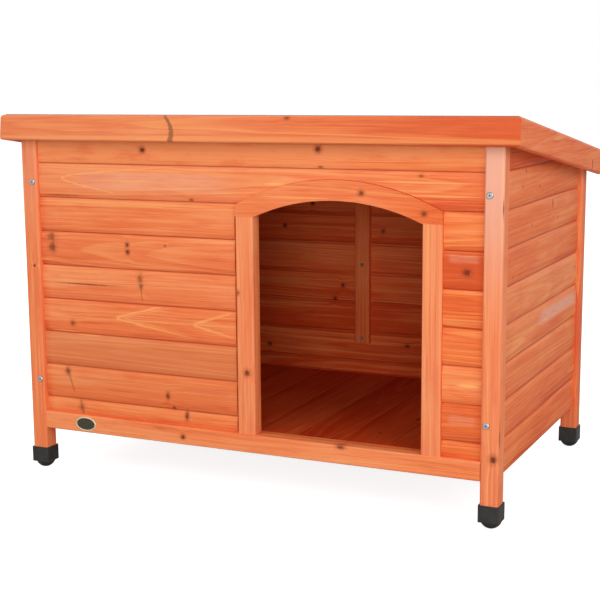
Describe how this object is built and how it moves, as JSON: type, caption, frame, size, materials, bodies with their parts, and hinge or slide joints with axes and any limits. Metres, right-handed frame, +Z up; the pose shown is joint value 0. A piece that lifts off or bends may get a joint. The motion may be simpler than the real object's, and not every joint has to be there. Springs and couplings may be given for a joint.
{
  "type": "wooden dog house",
  "caption": "Flat-roof timber dog house with an arched doorway to one side, posts on plastic foot caps, a rear-hinged roof held by slotted stays, and lift-out floor panels.",
  "frame": {"origin": "on the ground under the middle of the roof", "axes": "+Z up, -Y towards the doorway side, +X to the right when facing the doorway"},
  "size_m": [1.0396, 0.658, 0.7138],
  "materials": {
    "stained_pine": "satin stained softwood",
    "inner_pine": "matt stained softwood",
    "cap_plastic": "matt moulded plastic",
    "zinc_steel": "zinc plated",
    "roofing_felt": "mineral roofing felt",
    "plate_metal": "satin"
  },
  "bodies": {
    "house": {"back_batten_screws": "zinc_steel", "back_boards": "inner_pine", "back_corner_battens": "inner_pine", "back_floor_rail": "inner_pine", "back_middle_batten": "inner_pine", "back_top_rail": "inner_pine", "door_arch": "stained_pine", "door_batten_left": "stained_pine", "door_batten_right": "stained_pine", "door_casing_left": "stained_pine", "door_casing_right": "stained_pine", "floor_ledges": "inner_pine", "floor_middle_bearer": "inner_pine", "foot_cap_front_left": "cap_plastic", "foot_cap_front_right": "cap_plastic", "foot_cap_rear_left": "cap_plastic", "foot_cap_rear_right": "cap_plastic", "front_board_over_door": "stained_pine", "front_board_top": "stained_pine", "front_boards_left": "stained_pine", "front_boards_right": "stained_pine", "front_corner_battens": "inner_pine", "front_floor_rail": "inner_pine", "front_sill": "stained_pine", "front_top_rail": "inner_pine", "hinge_fixed_leaves": "zinc_steel", "hinge_fixed_screws": "zinc_steel", "hinge_pins": "zinc_steel", "left_boards": "stained_pine", "left_corner_battens": "inner_pine", "oval_plate": "plate_metal", "post_front_left": "stained_pine", "post_front_right": "stained_pine", "post_rear_left": "stained_pine", "post_rear_right": "stained_pine", "post_screws": "zinc_steel", "right_boards": "stained_pine", "right_corner_battens": "inner_pine", "side_floor_rails": "inner_pine", "side_middle_battens": "inner_pine", "side_top_rails": "inner_pine", "stay_wall_pins": "zinc_steel"},
    "roof": {"hinge_moving_leaves": "zinc_steel", "hinge_moving_screws": "zinc_steel", "roof_battens": "inner_pine", "roof_deck": "inner_pine", "roof_fascia_front": "stained_pine", "roof_fascia_left": "stained_pine", "roof_fascia_rear": "stained_pine", "roof_fascia_right": "stained_pine", "roof_felt": "roofing_felt", "stay_bracket_left": "zinc_steel", "stay_bracket_right": "zinc_steel"},
    "stay_left": {"stay_left": "zinc_steel"},
    "stay_right": {"stay_right": "zinc_steel"},
    "floor_panel_left": {"floor_boards_left": "inner_pine", "floor_battens_left": "inner_pine"},
    "floor_panel_right": {"floor_boards_right": "inner_pine", "floor_battens_right": "inner_pine"}
  },
  "joints": [
    {"name": "roof_hinge", "type": "hinge", "parent": "house", "child": "roof", "pos_m": [0, 0.30678, 0.58342], "axis": [-1, 0, 0], "range_deg": [0, 70]},
    {"name": "stay_pivot_left", "type": "hinge", "parent": "roof", "child": "stay_left", "pos_m": [-0.448, 0.05303, 0.63461], "axis": [-1, 0, 0], "range_deg": [-35, 0]},
    {"name": "stay_pivot_right", "type": "hinge", "parent": "roof", "child": "stay_right", "pos_m": [0.448, 0.05303, 0.63461], "axis": [-1, 0, 0], "range_deg": [-35, 0]},
    {"name": "floor_lift_left", "type": "slide", "parent": "house", "child": "floor_panel_left", "axis": [0, 0, 1], "range_m": [0, 0.15]},
    {"name": "floor_lift_right", "type": "slide", "parent": "house", "child": "floor_panel_right", "axis": [0, 0, 1], "range_m": [0, 0.15]}
  ],
  "couplings": [
    {"joint": "stay_pivot_left", "follows": "roof_hinge", "ratio": -0.5},
    {"joint": "stay_pivot_right", "follows": "roof_hinge", "ratio": -0.5}
  ]
}
